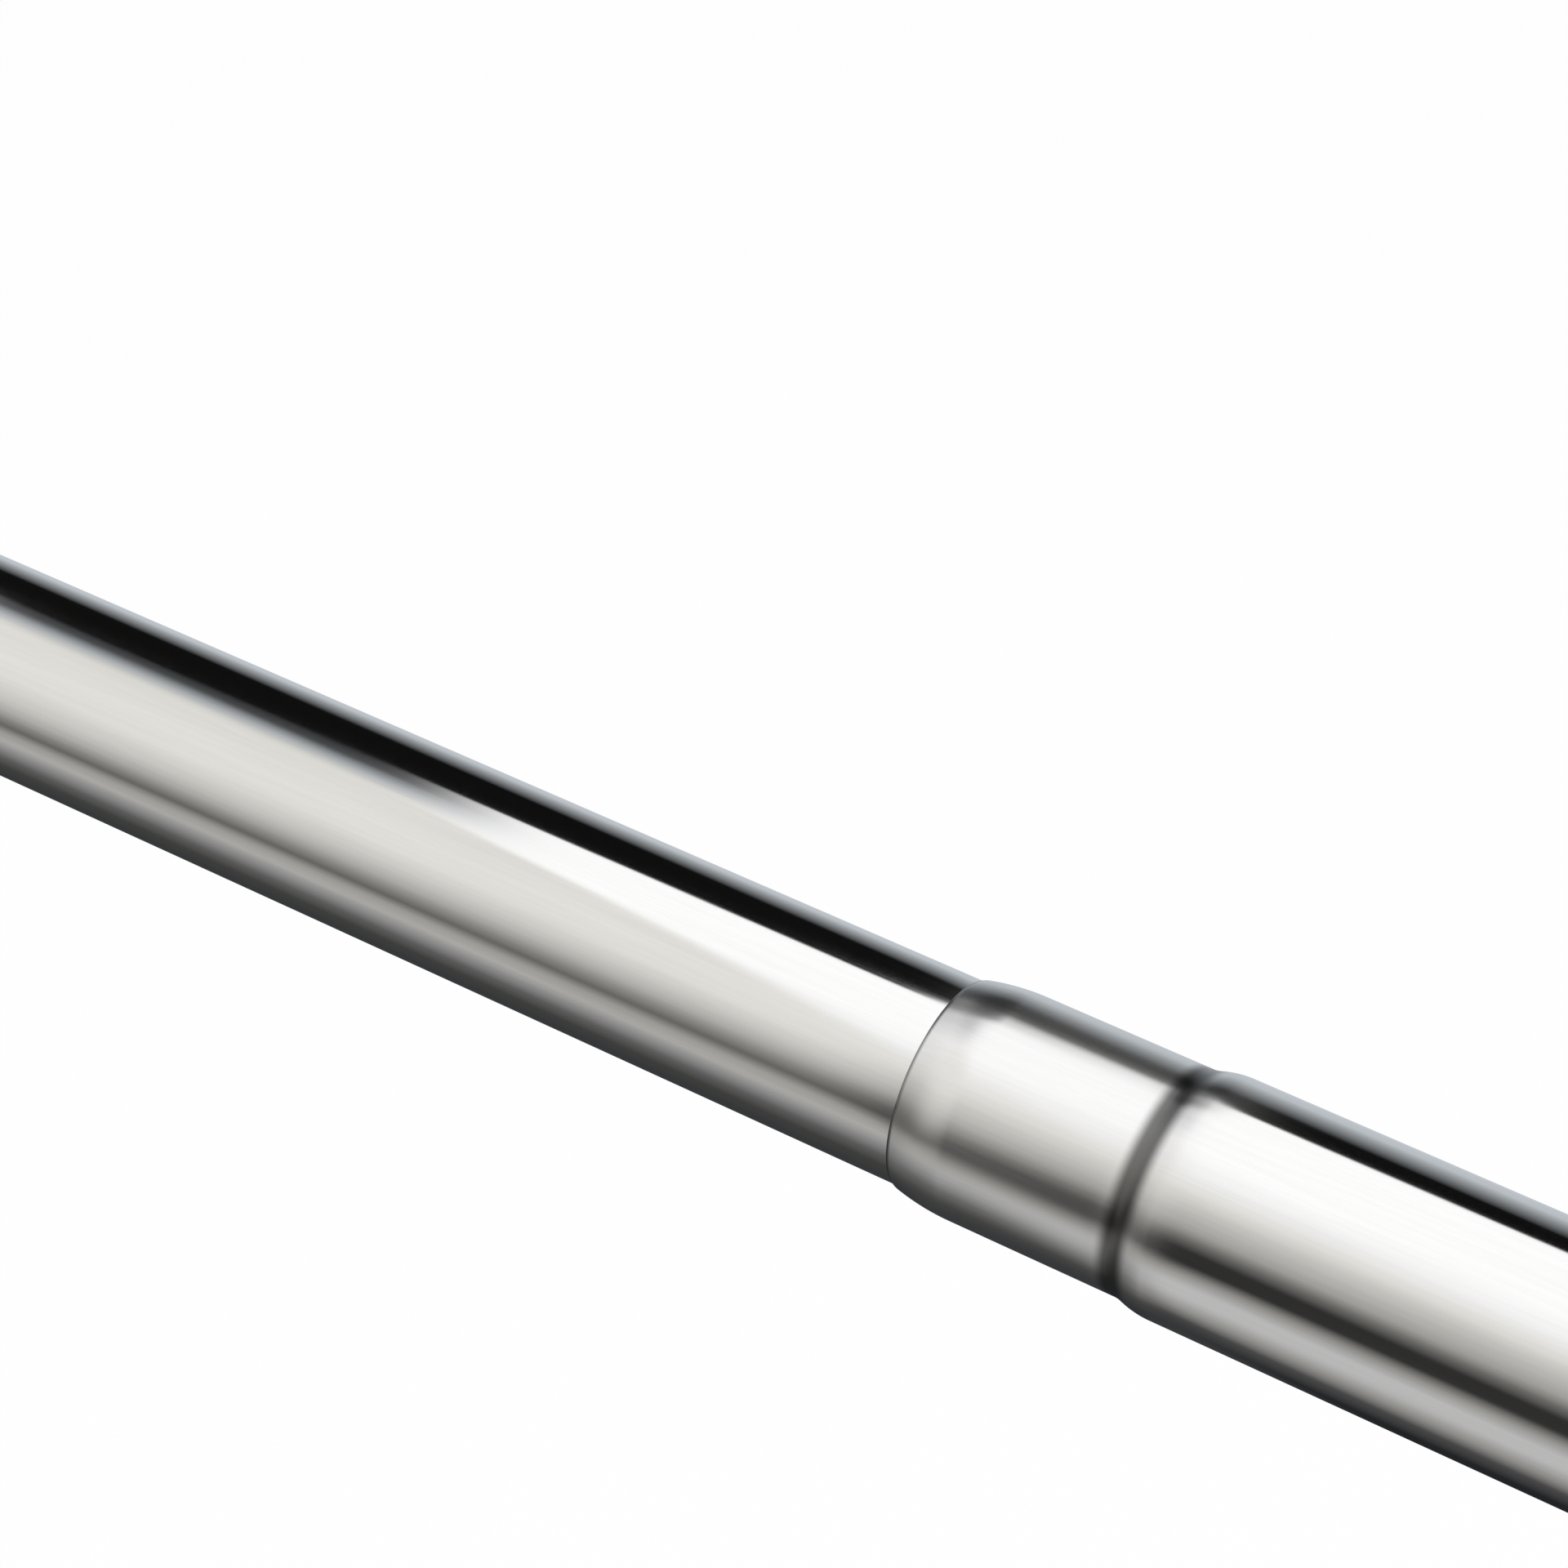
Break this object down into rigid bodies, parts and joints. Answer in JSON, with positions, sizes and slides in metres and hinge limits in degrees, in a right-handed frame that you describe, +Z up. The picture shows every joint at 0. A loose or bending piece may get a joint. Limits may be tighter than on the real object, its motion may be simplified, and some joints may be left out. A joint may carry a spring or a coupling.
{
  "type": "telescopic rod",
  "caption": "Telescopic steel tension rod: inner tube slides in a swaged outer tube, with a twist lock, a compression spring inside and padded wall feet.",
  "frame": {"origin": "centre of the wall face of the outer tube's foot", "axes": "+X out of that wall face along the rod's axis, so the rod runs towards -X; +Z up"},
  "size_m": [0.4952, 0.034, 0.034],
  "materials": {
    "stainless_steel": "polished stainless steel with a faint lengthwise grain",
    "foot_plastic": "moulded grey plastic, satin",
    "plug_plastic": "moulded dark plastic, matt",
    "pad_rubber": "moulded rubber, matt",
    "nylon": "natural nylon, satin",
    "lock_plastic": "moulded acetal, satin",
    "spring_steel": "drawn spring wire, lightly oiled",
    "screw_steel": "bright zinc plate"
  },
  "bodies": {
    "outer": {"outer_tube": "stainless_steel", "outer_plug": "plug_plastic", "outer_foot": "foot_plastic", "outer_foot_screw": "screw_steel", "outer_pad": "pad_rubber"},
    "lock": {"expander_sleeve": "lock_plastic"},
    "cone": {"expander_cone": "lock_plastic"},
    "spindle": {"lock_spindle": "nylon", "shank_washer": "screw_steel", "shank_screw": "screw_steel", "nose_washer": "screw_steel", "nose_screw": "screw_steel"},
    "inner": {"inner_tube": "stainless_steel", "inner_plug": "plug_plastic", "inner_foot": "foot_plastic", "inner_foot_screw": "screw_steel", "inner_pad": "pad_rubber", "guide_bush": "nylon", "spring_washer": "screw_steel", "tension_spring": "spring_steel"}
  },
  "joints": [
    {"name": "tube_slide", "type": "slide", "parent": "outer", "child": "lock", "axis": [-1, 0, 0], "range_m": [-0.1215, 0.0554]},
    {"name": "lock_twist", "type": "hinge", "parent": "lock", "child": "spindle", "pos_m": [-0.19, 0, 0], "axis": [1, 0, 0], "range_deg": [0, 198]},
    {"name": "spring_travel", "type": "slide", "parent": "spindle", "child": "inner", "axis": [1, 0, 0], "range_m": [0, 0.018], "stiffness_N_per_m": 7400, "deforming": ["tension_spring"]},
    {"name": "cone_travel", "type": "slide", "parent": "lock", "child": "cone", "axis": [-1, 0, 0], "range_m": [0, 0.0022]}
  ],
  "couplings": [
    {"joint": "cone_travel", "follows": "lock_twist", "m_per_rad": 0.00063662}
  ]
}
